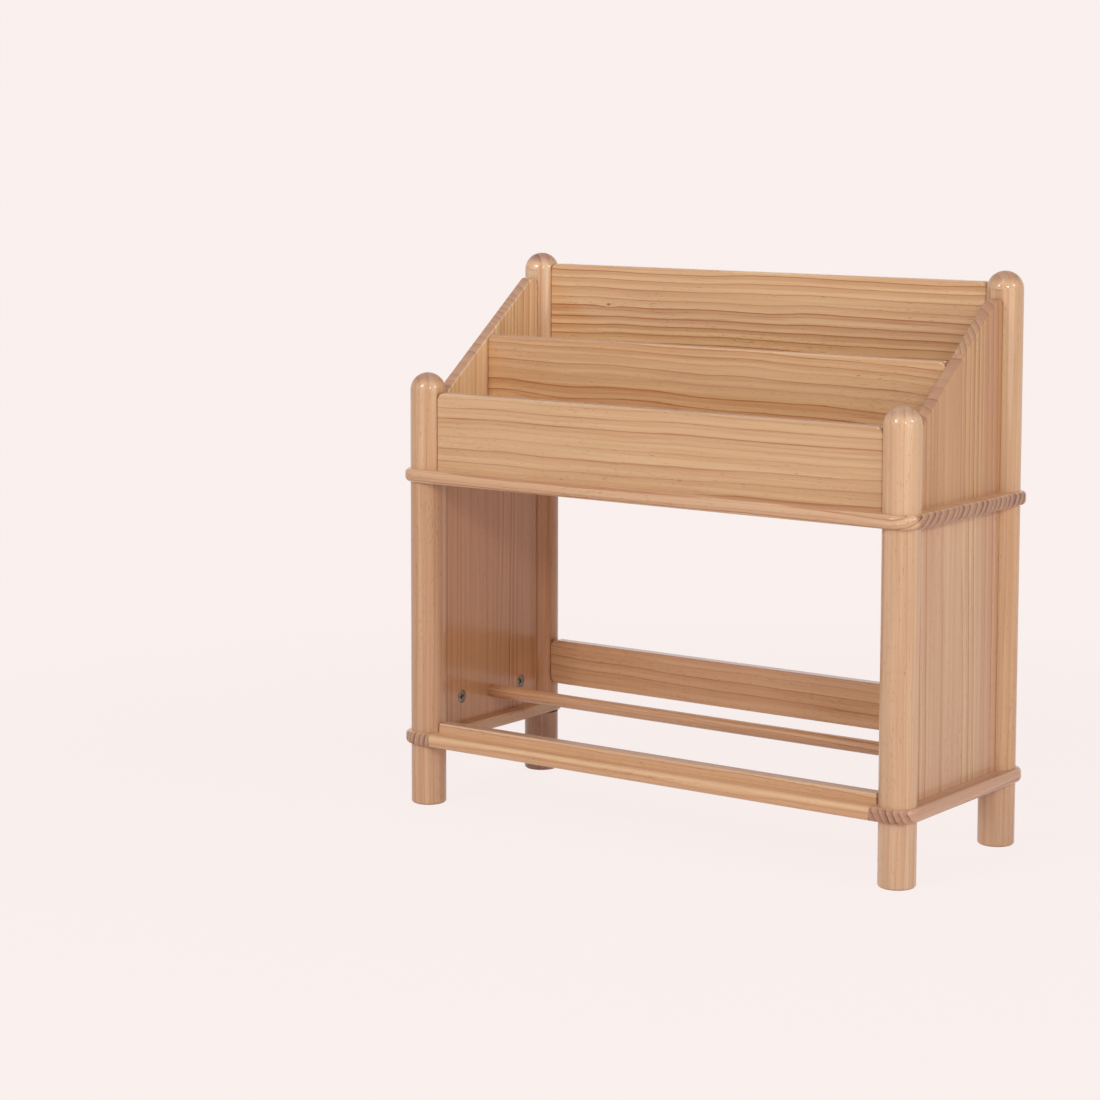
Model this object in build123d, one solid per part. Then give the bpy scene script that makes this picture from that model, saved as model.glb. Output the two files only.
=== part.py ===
"""Two-level wooden bookcase on four round posts, in millimetres.

+Z is up, +X runs along the long side and -Y is the open front. The origin is on the floor, midway
between the four posts. The frame is knock-down furniture: short feet, a base, lower posts and
panels, one full shelf, and upper posts and panels that carry three boards of rising height.
"""
from build123d import *
import os

# Overall layout: the four post axes
post_spacing_x = 614.0
post_spacing_y = 218.0

# Round posts
post_diameter = 40.0
foot_height = 70.0
foot_edge_round = 3.0
lower_post_height = 287.5
front_post_height = 109.0
rear_post_height = 236.0
seat_depth = 1.5

# Plates and boards
plate_thickness = 15.0
board_thickness = 15.0
plate_overhang = 6.0
plate_edge_round = 5.0
board_edge_round = 2.0
board_corner_round = 9.0

# Heights of the boards and panels above the shelf
front_board_height = 87.0
divider_height = 146.0
back_board_height = 224.0
side_front_height = 79.5
side_rear_height = 216.5
side_front_round = 4.0

# Lower bay: lip on the front strip, rail between the rear posts, rod between the panels
lip_height = 10.7
lip_corner_round = 4.0
rail_height = 52.0
rail_clear_height = 22.4
rod_diameter = 15.0
rod_height = 28.0
rod_seat_depth = 8.0

# Cam locks
cam_diameter = 15.0
cam_depth = 12.5
cam_height = 30.0
cam_spread_y = 114.0
cam_spread_x = 400.0
cam_slot_width = 2.0
cam_slot_length = 8.0
cam_slot_depth = 2.5
cam_bolt_diameter = 7.0
cam_bolt_past_centre = 2.5
cam_thread_diameter = 5.0
cam_thread_length = 11.0

# Studs and threaded inserts that clamp the posts through the plates
stud_diameter = 8.0
insert_diameter = 12.0
insert_length = 18.0

# Wood screws that hold the shelf down on the lower panels
screw_diameter = 6.5
screw_head_diameter = 10.0
screw_head_height = 4.0
screw_length = 50.0
screw_spread_y = 60.0
screw_drive_width = 4.0
screw_drive_depth = 2.5

# Wooden dowels
dowel_diameter = 8.0
dowel_chamfer = 1.0
dowel_depth_post = 12.0
dowel_depth_board = 18.0
dowel_depth_panel = 9.0
strip_dowel_depth = 15.0
strip_dowel_spread = 30.0
rail_dowel_spread = 26.0
lip_dowel_diameter = 6.0
lip_dowel_depth = 6.0
lip_dowel_depth_strip = 9.0
lip_dowel_spread = 440.0

# Fits
hole_clearance = 0.1
end_clearance = 0.3
cut_overrun = 1.0
level_tolerance = 0.01

# Places of the dowels, as shares of the length of the edge that they join
lower_side_dowel_shares = (0.2, 0.5, 0.8)
upper_front_dowel_shares = (0.33, 0.72)
upper_rear_dowel_shares = (0.2, 0.5, 0.8)
front_board_dowel_shares = (0.33, 0.72)
back_board_dowel_shares = (0.2, 0.5, 0.8)
divider_dowel_shares = (0.25, 0.75)

# Levels and distances that follow from the sizes above
post_radius = post_diameter / 2
post_x = post_spacing_x / 2
post_y = post_spacing_y / 2
base_top = foot_height + plate_thickness
shelf_bottom = base_top + lower_post_height
shelf_top = shelf_bottom + plate_thickness
seat_distance = post_radius - seat_depth
seat_x = post_x - seat_distance
seat_y = post_y - seat_distance
plate_radius = post_radius + plate_overhang
plate_half_x = post_x + plate_radius
plate_half_y = post_y + plate_radius
panel_inner_x = post_x - board_thickness / 2
strip_inner_x = post_x - post_radius
strip_depth = 2 * plate_radius
rod_level = base_top + rod_height
rail_bottom = base_top + rail_clear_height
side_slope = (side_rear_height - side_front_height) / (2 * seat_y)
side_seat_heights = {"front": side_front_height + side_slope * seat_depth, "rear": side_rear_height}

AT_START = (Align.CENTER, Align.CENTER, Align.MIN)
SIDES = {"left": -1, "right": 1}
ENDS = {"front": -1, "rear": 1}
UP = (0, 0, 1)
DOWN = (0, 0, -1)


# Points, directions and plain shapes


def moved(start, direction, distance):
    """The point at a distance from another, along a direction."""
    return tuple(a + b * distance for a, b in zip(start, direction))


def opposite(direction):
    """The direction that points the other way."""
    return tuple(-value for value in direction)


def pin(start, direction, diameter, length):
    """A round bar that starts at a point and runs along a direction."""
    return Plane(origin=start, z_dir=direction) * Cylinder(diameter / 2, length, align=AT_START)


def hole_for(diameter):
    """The diameter of a hole that a bar of a given diameter fits."""
    return diameter + 2 * hole_clearance


def is_level(edge):
    """Whether an edge lies in one horizontal plane."""
    return edge.bounding_box().size.Z < level_tolerance


# The whole model: pieces by node name, and the holes that each wooden piece gets
pieces = {}
holes = {}


def add_piece(name, *solids):
    """Put solids in a node, after those that it already has."""
    pieces.setdefault(name, []).extend(solids)


def add_hole(name, *cuts):
    """Keep cuts for a wooden piece."""
    holes.setdefault(name, []).extend(cuts)


# Wooden pieces before their holes


def foot(x, y):
    """A short post segment with a rounded bottom edge."""
    body = pin((x, y, 0), UP, post_diameter, foot_height)
    lowest = body.edges().filter_by(GeomType.CIRCLE).sort_by(Axis.Z)[0]
    return fillet(lowest, foot_edge_round)


def upper_post(x, y, height):
    """A post on the shelf that ends in a half ball."""
    straight = height - post_radius
    body = pin((x, y, shelf_top), UP, post_diameter, straight)
    return body + Pos(x, y, shelf_top + straight) * Sphere(post_radius)


def seat_cut(x, y, bottom, height, direction):
    """The flat on one side of a post that a board's end bears on."""
    depth = seat_depth + cut_overrun
    block = Box(depth, post_diameter, height, align=(Align.MIN, Align.CENTER, Align.MIN))
    start = moved((x, y, bottom), direction, seat_distance)
    return Plane(origin=start, x_dir=direction, z_dir=UP) * block


def soften(body, across, open_levels):
    """Round the rims of a board's two broad faces, except on the levels where it meets a plate."""
    rims = []
    for edge in body.edges():
        box = edge.bounding_box()
        width = box.size.X if across == Axis.X else box.size.Y
        at_plate = is_level(edge) and any(abs(box.min.Z - z) < level_tolerance for z in open_levels)
        if width < level_tolerance and not at_plate:
            rims.append(edge)
    return fillet(rims, board_edge_round)


def board(length, height, y, bottom, corner_round, hangs_free=False):
    """A board along X with round upper corners, and round lower ones too where it hangs free."""
    outline = Pos(0, height / 2) * Rectangle(length, height)
    corners = outline.vertices() if hangs_free else outline.vertices().sort_by(Axis.Y)[-2:]
    outline = fillet(corners, corner_round)
    body = extrude(Plane.XZ * outline, amount=board_thickness / 2, both=True)
    open_levels = [] if hangs_free else [0]
    return Pos(0, y, bottom) * soften(body, Axis.Y, open_levels)


def lower_side(side):
    """A plain panel between a front and a rear lower post."""
    body = Box(board_thickness, 2 * seat_y, lower_post_height, align=AT_START)
    body = soften(body, Axis.X, [0, lower_post_height])
    return Pos(side * post_x, 0, base_top) * body


def upper_side(side):
    """A panel whose top slopes up from the front post to the rear one."""
    corners = [(-seat_y, 0), (seat_y, 0), (seat_y, side_rear_height), (-seat_y, side_front_height)]
    outline = make_face(Polyline(*corners, close=True))
    outline = fillet(outline.vertices().sort_by(Axis.Y)[-1], board_corner_round)
    front_top = outline.vertices().filter_by(lambda v: v.X < 0 and v.Y > level_tolerance)
    outline = fillet(front_top, side_front_round)
    body = extrude(Plane.YZ * outline, amount=board_thickness / 2, both=True)
    return Pos(side * post_x, 0, shelf_top) * soften(body, Axis.X, [0])


def plate(outline, bottom):
    """A level plate with its whole rim rounded above and below."""
    body = extrude(outline, amount=plate_thickness)
    return Pos(0, 0, bottom) * fillet([edge for edge in body.edges() if is_level(edge)], plate_edge_round)


def strip_bar(start_x, length):
    """A length of the base's front strip, with rounded long edges."""
    body = Box(length, strip_depth, plate_thickness, align=(Align.MIN, Align.CENTER, Align.MIN))
    body = fillet(body.edges().filter_by(Axis.X), plate_edge_round)
    return Pos(start_x, -post_y, foot_height) * body


def base_side(side):
    """A side plate of the base, round at its outer corners, with a square end for the strip."""
    width = plate_radius + post_radius
    outline = Pos(strip_inner_x + width / 2, 0) * Rectangle(width, 2 * plate_half_y)
    outline = fillet(outline.vertices().sort_by(Axis.X)[-2:], plate_radius)
    inner_rear = outline.vertices().sort_by(Axis.X)[:2].sort_by(Axis.Y)[-1]
    outline = fillet(inner_rear, seat_distance)
    body = plate(outline, foot_height) + strip_bar(strip_inner_x, plate_radius)
    return body if side > 0 else mirror(body, about=Plane.YZ)


# Joining hardware


def add_dowel(name, start, direction, back, ahead, diameter=dowel_diameter):
    """A dowel across a joint, with its hole in the piece behind and in the one ahead.

    back and ahead each give a piece's node name and how deep the dowel goes into it.
    """
    back_node, back_depth = back
    ahead_node, ahead_depth = ahead
    body = pin(moved(start, direction, -back_depth), direction, diameter, back_depth + ahead_depth)
    add_piece(name, chamfer(body.edges().filter_by(GeomType.CIRCLE), dowel_chamfer))
    for node, way, depth in ((back_node, opposite(direction), back_depth),
                             (ahead_node, direction, ahead_depth)):
        mouth = moved(start, way, -cut_overrun)
        add_hole(node, pin(mouth, way, hole_for(diameter), depth + end_clearance + cut_overrun))


def add_cam_lock(name, board_node, plate_node, foot_point, face):
    """A cam disc in a board and the bolt that ties it to the plate below.

    foot_point is on the plate, under the middle of the board's thickness. The disc's cross recess
    looks along face.
    """
    centre = moved(foot_point, UP, cam_height)
    front = moved(centre, face, board_thickness / 2)
    bolt_length = cam_height + cam_bolt_past_centre
    bore = pin(moved(foot_point, DOWN, cut_overrun), UP, hole_for(cam_bolt_diameter),
               bolt_length + end_clearance + cut_overrun)
    disc = pin(front, opposite(face), cam_diameter - 2 * hole_clearance, cam_depth - end_clearance)
    for turn in (0, 90):
        slot = Rot(0, 0, turn) * Box(cam_slot_length, cam_slot_width, 2 * cam_slot_depth)
        disc = disc - Plane(origin=front, z_dir=face) * slot
    add_piece(name + "_cams", disc - bore)
    shank = pin(foot_point, UP, cam_bolt_diameter, bolt_length)
    add_piece(name + "_cam_bolts", shank + pin(foot_point, DOWN, cam_thread_diameter, cam_thread_length))
    add_hole(board_node, bore)
    add_hole(board_node, pin(moved(front, face, cut_overrun), opposite(face), cam_diameter,
                             cam_depth + cut_overrun))
    add_hole(plate_node, pin(moved(foot_point, UP, cut_overrun), DOWN, hole_for(cam_thread_diameter),
                             cam_thread_length + end_clearance + cut_overrun))


def add_post_stud(name, x, y, plate_bottom, nodes):
    """A stud through a plate, screwed into an insert in the post below and in the one above.

    nodes holds the names of the post below, the plate and the post above.
    """
    below_node, plate_node, above_node = nodes
    plate_top = plate_bottom + plate_thickness
    stud_bottom = (x, y, plate_bottom - insert_length)
    stud_length = plate_thickness + 2 * insert_length
    add_piece(name + "_studs", pin(stud_bottom, UP, stud_diameter, stud_length))
    bore = pin(stud_bottom, UP, hole_for(stud_diameter), stud_length)
    for node, mouth, way in ((below_node, (x, y, plate_bottom), DOWN), (above_node, (x, y, plate_top), UP)):
        add_piece(name + "_inserts", pin(mouth, way, insert_diameter, insert_length) - bore)
        add_hole(node, pin(moved(mouth, way, -cut_overrun), way, hole_for(insert_diameter),
                           insert_length + end_clearance + cut_overrun))
    add_hole(plate_node, bore)


def add_shelf_screw(panel_node, x, y):
    """A flat-headed wood screw, down through the shelf and into a lower panel's top edge."""
    top = (x, y, shelf_top)
    body = pin(top, DOWN, screw_diameter, screw_length)
    body = body + pin(top, DOWN, screw_head_diameter, screw_head_height)
    drive = Box(screw_drive_width, screw_drive_width, 2 * screw_drive_depth)
    add_piece("shelf_screws", body - Pos(top) * drive)
    above = moved(top, UP, cut_overrun)
    shank_hole = pin(above, DOWN, hole_for(screw_diameter), screw_length + end_clearance + cut_overrun)
    head_hole = pin(above, DOWN, hole_for(screw_head_diameter), screw_head_height + cut_overrun)
    add_hole("shelf", shank_hole, head_hole)
    add_hole(panel_node, shank_hole)


# Groups of pieces


def build_posts():
    """Feet, lower posts and upper posts, with the studs that clamp them."""
    heights = {"front": front_post_height, "rear": rear_post_height}
    for end, y_sign in ENDS.items():
        for side, x_sign in SIDES.items():
            corner = f"{end}_{side}"
            x, y = x_sign * post_x, y_sign * post_y
            inwards = (0, -y_sign, 0)
            add_piece(f"foot_{corner}", foot(x, y))
            add_piece(f"lower_post_{corner}", pin((x, y, base_top), UP, post_diameter, lower_post_height))
            add_piece(f"upper_post_{corner}", upper_post(x, y, heights[end]))
            add_post_stud("base", x, y, foot_height,
                          (f"foot_{corner}", f"base_side_{side}", f"lower_post_{corner}"))
            add_post_stud("shelf", x, y, shelf_bottom,
                          (f"lower_post_{corner}", "shelf", f"upper_post_{corner}"))
            add_hole(f"lower_post_{corner}", seat_cut(x, y, base_top, lower_post_height, inwards))
            add_hole(f"upper_post_{corner}", seat_cut(x, y, shelf_top, side_seat_heights[end], inwards))


def build_plates():
    """The base's two side plates and front strip, and the shelf."""
    for side, x_sign in SIDES.items():
        add_piece(f"base_side_{side}", base_side(x_sign))
        for y_sign in ENDS.values():
            start = (x_sign * strip_inner_x, -post_y + y_sign * strip_dowel_spread / 2,
                     foot_height + plate_thickness / 2)
            add_dowel("base_strip_dowels", start, (x_sign, 0, 0), ("base_front_strip", strip_dowel_depth),
                      (f"base_side_{side}", strip_dowel_depth))
    add_piece("base_front_strip", strip_bar(-strip_inner_x, 2 * strip_inner_x))
    outline = fillet(Rectangle(2 * plate_half_x, 2 * plate_half_y).vertices(), plate_radius)
    add_piece("shelf", plate(outline, shelf_bottom))


def build_sides():
    """Lower and upper side panels, with their dowels, cam locks and screws."""
    for side, x_sign in SIDES.items():
        x = x_sign * post_x
        lower, upper = f"lower_side_{side}", f"upper_side_{side}"
        add_piece(lower, lower_side(x_sign))
        add_piece(upper, upper_side(x_sign))
        for y_sign in ENDS.values():
            cam_y = y_sign * cam_spread_y / 2
            add_cam_lock(lower, lower, f"base_side_{side}", (x, cam_y, base_top), (-x_sign, 0, 0))
            add_cam_lock(upper, upper, "shelf", (x, cam_y, shelf_top), (-x_sign, 0, 0))
            add_shelf_screw(lower, x, y_sign * screw_spread_y / 2)
        for end, y_sign in ENDS.items():
            corner = f"{end}_{side}"
            upper_height = side_front_height if end == "front" else side_rear_height
            upper_shares = upper_front_dowel_shares if end == "front" else upper_rear_dowel_shares
            for share in lower_side_dowel_shares:
                start = (x, y_sign * seat_y, base_top + share * lower_post_height)
                add_dowel("lower_side_dowels", start, (0, y_sign, 0), (lower, dowel_depth_board),
                          (f"lower_post_{corner}", dowel_depth_post))
            for share in upper_shares:
                start = (x, y_sign * seat_y, shelf_top + share * upper_height)
                add_dowel("upper_side_dowels", start, (0, y_sign, 0), (upper, dowel_depth_board),
                          (f"upper_post_{corner}", dowel_depth_post))


def build_post_board(name, end, height, shares):
    """A board on the shelf between two upper posts, fixed by dowels and cam locks."""
    y = ENDS[end] * post_y
    add_piece(name, board(2 * seat_x, height, y, shelf_top, board_corner_round))
    for side, x_sign in SIDES.items():
        post = f"upper_post_{end}_{side}"
        add_hole(post, seat_cut(x_sign * post_x, y, shelf_top, height, (-x_sign, 0, 0)))
        for share in shares:
            start = (x_sign * seat_x, y, shelf_top + share * height)
            add_dowel(f"{name}_dowels", start, (x_sign, 0, 0), (name, dowel_depth_board),
                      (post, dowel_depth_post))
        foot_point = (x_sign * cam_spread_x / 2, y, shelf_top)
        add_cam_lock(name, name, "shelf", foot_point, (0, -ENDS[end], 0))


def build_divider():
    """The middle board, between the two upper side panels."""
    add_piece("divider", board(2 * panel_inner_x, divider_height, 0, shelf_top, board_corner_round))
    for side, x_sign in SIDES.items():
        for share in divider_dowel_shares:
            start = (x_sign * panel_inner_x, 0, shelf_top + share * divider_height)
            add_dowel("divider_dowels", start, (x_sign, 0, 0), ("divider", dowel_depth_board),
                      (f"upper_side_{side}", dowel_depth_panel))
        foot_point = (x_sign * cam_spread_x / 2, 0, shelf_top)
        add_cam_lock("divider", "divider", "shelf", foot_point, (0, ENDS["rear"], 0))


def build_lower_bay():
    """The lip, the rear rail and the rod that keep what stands in the lower bay in place."""
    add_piece("lip", board(2 * strip_inner_x, lip_height, -post_y, base_top, lip_corner_round))
    for x in (-lip_dowel_spread / 2, 0, lip_dowel_spread / 2):
        add_dowel("lip_dowels", (x, -post_y, base_top), UP, ("base_front_strip", lip_dowel_depth_strip),
                  ("lip", lip_dowel_depth), lip_dowel_diameter)
    add_piece("rear_rail", board(2 * seat_x, rail_height, post_y, rail_bottom, board_corner_round, True))
    rod_end_x = panel_inner_x + rod_seat_depth
    add_piece("rod", pin((-rod_end_x, 0, rod_level), (1, 0, 0), rod_diameter, 2 * rod_end_x))
    for side, x_sign in SIDES.items():
        post = f"lower_post_rear_{side}"
        add_hole(post, seat_cut(x_sign * post_x, post_y, rail_bottom, rail_height, (-x_sign, 0, 0)))
        for z_sign in (-1, 1):
            level = rail_bottom + rail_height / 2 + z_sign * rail_dowel_spread / 2
            add_dowel("rear_rail_dowels", (x_sign * seat_x, post_y, level), (x_sign, 0, 0),
                      ("rear_rail", dowel_depth_board), (post, dowel_depth_post))
        mouth = (x_sign * (panel_inner_x - cut_overrun), 0, rod_level)
        add_hole(f"lower_side_{side}", pin(mouth, (x_sign, 0, 0), hole_for(rod_diameter),
                                           rod_seat_depth + end_clearance + cut_overrun))


def export_pieces():
    """Cut every piece's holes and write one file per node."""
    os.makedirs("parts", exist_ok=True)
    for name, solids in pieces.items():
        if name in holes:
            solids = [solids[0] - holes[name]]
        shape = solids[0] if len(solids) == 1 else Compound(children=solids)
        export_step(shape, f"parts/{name}.step")


def main():
    """Build the bookcase."""
    build_posts()
    build_plates()
    build_sides()
    build_post_board("front_board", "front", front_board_height, front_board_dowel_shares)
    build_post_board("back_board", "rear", back_board_height, back_board_dowel_shares)
    build_divider()
    build_lower_bay()
    export_pieces()


if __name__ == "__main__":
    main()
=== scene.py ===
"""The looks of a pine bookcase on four round posts: finishes, cam fittings, light and camera.

Everything is in metres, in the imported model's own frame: +Z up, +X along the long side, and -Y
the front.
"""
import logging
import math
from dataclasses import dataclass
from enum import Enum
from typing import Any, Dict, List, Optional, Sequence, Tuple, Union

import bmesh
import bpy
import numpy as np
from mathutils import Matrix, Vector

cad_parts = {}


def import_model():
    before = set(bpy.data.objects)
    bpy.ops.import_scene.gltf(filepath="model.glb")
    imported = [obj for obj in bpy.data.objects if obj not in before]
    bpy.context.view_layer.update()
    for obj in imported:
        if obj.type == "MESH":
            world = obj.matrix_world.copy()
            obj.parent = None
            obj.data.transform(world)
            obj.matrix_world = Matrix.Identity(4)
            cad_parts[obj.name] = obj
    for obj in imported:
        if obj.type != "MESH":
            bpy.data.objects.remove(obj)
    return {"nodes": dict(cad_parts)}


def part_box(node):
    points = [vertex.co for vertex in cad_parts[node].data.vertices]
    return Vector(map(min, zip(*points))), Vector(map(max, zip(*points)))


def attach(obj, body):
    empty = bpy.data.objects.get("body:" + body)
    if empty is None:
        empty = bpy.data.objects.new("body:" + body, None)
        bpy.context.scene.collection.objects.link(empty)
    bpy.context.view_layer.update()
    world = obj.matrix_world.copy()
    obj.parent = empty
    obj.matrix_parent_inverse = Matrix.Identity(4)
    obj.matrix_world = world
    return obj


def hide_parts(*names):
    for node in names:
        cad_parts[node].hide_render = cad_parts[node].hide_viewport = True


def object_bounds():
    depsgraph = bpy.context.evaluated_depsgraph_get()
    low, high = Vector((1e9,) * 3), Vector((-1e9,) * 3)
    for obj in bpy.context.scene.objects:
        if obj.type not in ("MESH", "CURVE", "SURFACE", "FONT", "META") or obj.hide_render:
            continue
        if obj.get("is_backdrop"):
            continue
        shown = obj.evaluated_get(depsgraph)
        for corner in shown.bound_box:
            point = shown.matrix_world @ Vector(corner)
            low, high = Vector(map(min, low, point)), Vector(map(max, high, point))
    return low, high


log = logging.getLogger("bookcase")

Pair = Tuple[float, float]
Triple = Tuple[float, float, float]
Point = Triple
Colour = Tuple[float, float, float, float]

ORIGIN: Point = (0.0, 0.0, 0.0)
BODY = "root"
FITTINGS = {"_cams": "steel", "_cam_bolts": "steel", "_studs": "steel", "_screws": "steel",
            "_inserts": "brass", "_dowels": "beech"}

# The Mix node's sockets for colours.
MIX_SHARE, MIX_FIRST, MIX_SECOND, MIX_RESULT = 0, 6, 7, 2

# The curve of screen colours: its straight foot's end and slope, then its offset and power.
CURVE_FOOT, CURVE_SLOPE, CURVE_OFFSET, CURVE_POWER = 0.04045, 12.92, 0.055, 2.4

# What the pieces' seeds grow by, and the factors that keep one draw's seed apart from another's.
SEED_START, SEED_STEP = 1.0, 2.39
YEAR_SEED, YEAR_STEP = 3.3, 1.9
STRIP_SEED, STRIP_STEP = 7.13, 1.731


def linear(red: int, green: int, blue: int) -> Colour:
    """Turn a screen colour, 0 to 255 each, into the opaque linear colour that shaders use."""
    shares = np.array([red, green, blue]) / 255.0
    curved = ((shares + CURVE_OFFSET) / (1.0 + CURVE_OFFSET)) ** CURVE_POWER
    values = np.where(shares <= CURVE_FOOT, shares / CURVE_SLOPE, curved)
    return (float(values[0]), float(values[1]), float(values[2]), 1.0)


class Signal:
    """A shader socket that sums, products and other maths can be written with."""

    def __init__(self, graph: "Graph", socket: bpy.types.NodeSocket) -> None:
        """Wrap an output socket of a node in a graph."""
        self.graph, self.socket = graph, socket

    def _math(self, operation: str, *values: Any) -> "Signal":
        """Add one Math node over some values."""
        return self.graph.node("ShaderNodeMath", {"operation": operation}, dict(enumerate(values)))

    def __add__(self, other: Any) -> "Signal":
        """This plus another."""
        return self._math("ADD", self, other)

    def __radd__(self, other: Any) -> "Signal":
        """Another plus this."""
        return self._math("ADD", other, self)

    def __sub__(self, other: Any) -> "Signal":
        """This minus another."""
        return self._math("SUBTRACT", self, other)

    def __rsub__(self, other: Any) -> "Signal":
        """Another minus this."""
        return self._math("SUBTRACT", other, self)

    def __mul__(self, other: Any) -> "Signal":
        """This times another."""
        return self._math("MULTIPLY", self, other)

    def __rmul__(self, other: Any) -> "Signal":
        """Another times this."""
        return self._math("MULTIPLY", other, self)

    def __truediv__(self, other: Any) -> "Signal":
        """This divided by another."""
        return self._math("DIVIDE", self, other)

    def most(self, other: Any) -> "Signal":
        """The larger of this and another."""
        return self._math("MAXIMUM", self, other)

    def floor(self) -> "Signal":
        """The whole number below this."""
        return self._math("FLOOR", self)

    def fraction(self) -> "Signal":
        """What is left over the whole number below this."""
        return self._math("FRACT", self)

    def root(self) -> "Signal":
        """The square root of this."""
        return self._math("SQRT", self)

    def swing(self) -> "Signal":
        """This about its middle, -0.5 to 0.5, where it runs from 0 to 1."""
        return self - 0.5

    def size(self) -> "Signal":
        """This without its sign."""
        return self._math("ABSOLUTE", self)

    def sine(self) -> "Signal":
        """The sine of this, in radians."""
        return self._math("SINE", self)

    def cosine(self) -> "Signal":
        """The cosine of this, in radians."""
        return self._math("COSINE", self)

    def exponent(self) -> "Signal":
        """Euler's number to the power of this."""
        return self._math("EXPONENT", self)

    def rise(self, low: float, high: float) -> "Signal":
        """A smooth rise from 0 where this is low to 1 where it is high."""
        return self.graph.node("ShaderNodeMapRange", {"interpolation_type": "SMOOTHSTEP"},
                               {"Value": self, "From Min": low, "From Max": high})


class Graph:
    """The node tree of one material or world; one method adds any node."""

    def __init__(self, owner: Union[bpy.types.Material, bpy.types.World]) -> None:
        """Give a material or a world an empty tree."""
        self.owner = owner
        owner.use_nodes = True
        self.tree = owner.node_tree
        self.tree.nodes.clear()

    def node(self, kind: str, settings: Optional[Dict[str, Any]] = None,
             inputs: Optional[Dict[Any, Any]] = None, output: Any = 0) -> Signal:
        """Add a node, set it up and fill its sockets.

        Args:
            kind: The node's type.
            settings: Attributes to set first.
            inputs: Values or signals by socket name or number.
            output: The output socket's name or number.

        Returns:
            The chosen output.
        """
        made = self.tree.nodes.new(kind)
        for name, value in (settings or {}).items():
            setattr(made, name, value)
        for key, value in (inputs or {}).items():
            if isinstance(value, Signal):
                self.tree.links.new(value.socket, made.inputs[key])
            else:
                made.inputs[key].default_value = value
        return Signal(self, made.outputs[output])

    def part(self, signal: Signal, name: str) -> Signal:
        """Another output of the node that a signal comes from."""
        return Signal(self, signal.socket.node.outputs[name])

    def mix(self, share: Any, first: Any, second: Any, blend: str = "MIX") -> Signal:
        """Blend two colours; the share is how much of the second shows, 0 to 1."""
        return self.node("ShaderNodeMix", {"data_type": "RGBA", "blend_type": blend},
                         {MIX_SHARE: share, MIX_FIRST: first, MIX_SECOND: second}, MIX_RESULT)

    def parts(self, vector: Any) -> List[Signal]:
        """The three values of a vector."""
        split = self.node("ShaderNodeSeparateXYZ", None, {0: vector})
        return [self.part(split, letter) for letter in "XYZ"]

    def luck(self, number: Any) -> Signal:
        """Three values from 0 to 1 that a number always gives again, as a vector."""
        return self.node("ShaderNodeTexWhiteNoise", {"noise_dimensions": "1D"}, {"W": number},
                         "Color")

    def vector(self, x: Any, y: Any, z: Any) -> Signal:
        """A vector from three values."""
        return self.node("ShaderNodeCombineXYZ", None, {0: x, 1: y, 2: z})

    def noise(self, place: Signal, scale: float, detail: float = 2.0,
              roughness: float = 0.5) -> Signal:
        """Soft noise from 0 to 1 at a place."""
        inputs = {"Vector": place, "Scale": scale, "Detail": detail, "Roughness": roughness}
        return self.node("ShaderNodeTexNoise", None, inputs)

    def bump(self, height: Signal, strength: float, distance: float) -> Signal:
        """A normal from a height."""
        return self.node("ShaderNodeBump", None,
                         {"Height": height, "Strength": strength, "Distance": distance})

    def object_place(self, centre: Point) -> Signal:
        """The place on the piece, measured from a centre."""
        place = self.node("ShaderNodeTexCoord", None, None, "Object")
        back = tuple(-value for value in centre)
        return self.node("ShaderNodeMapping", None, {"Vector": place, "Location": back})

    def finish(self, sockets: Dict[str, Any]) -> bpy.types.Material:
        """End the material with its main shader, fed by socket name, and give the material."""
        self.show(self.node("ShaderNodeBsdfPrincipled", None, sockets))
        return self.owner

    def show(self, shader: Signal, kind: str = "ShaderNodeOutputMaterial") -> None:
        """Show a shader through an output node."""
        self.tree.links.new(shader.socket, self.tree.nodes.new(kind).inputs["Surface"])


Value = Union[Signal, float]
Ways = Tuple[Signal, Signal, Signal]


class Rise(Enum):
    """Smooth rises in the finishes: where each starts, where it is full, and what it then counts.

    The first three are over one axis's share in the surface's normal, the next five over a ring
    or half of one, and the rest over noise or a distance.
    """

    SAWN_FIBRES = (0.30, 0.85, 1.0)
    LONG_SIDE = (0.15, 0.45, 1.0)
    # Where the painted lilac sheen starts and is full on upward-facing surfaces.
    PAINTED_SHEEN_UP = (0.50, 0.95, 1.0)
    SLOW_DARKENING = (0.20, 0.97, 0.45)
    LATE_LINE = (0.84, 0.955, 0.55)
    RING_END = (0.975, 1.0, 1.0)
    FAINT_LINE = (0.45, 0.95, 1.0)
    FAINT_END = (0.95, 1.0, 1.0)
    STREAK = (0.25, 0.75, 0.45)
    BRUSH = (0.30, 0.70, 0.40)
    PATCH = (0.30, 0.70, 0.50)
    FIBRE = (0.45, 0.80, 0.16)
    FLECK = (0.80, 0.87, 1.0)
    KNOT = (0.20, 1.30, 1.0)
    STRIP_START = (0.0, 0.00001, 1.0)
    GLUED_JOINT = (0.0001, 0.0003, 1.0)
    METAL_FILM = (0.35, 0.70, 0.60)
    BEECH_FLECK = (0.50, 0.72, 0.70)

    def over(self, signal: Signal) -> Signal:
        """The rise over a signal."""
        low, high, full = self.value
        return signal.rise(low, high) if full == 1.0 else signal.rise(low, high) * full


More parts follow.
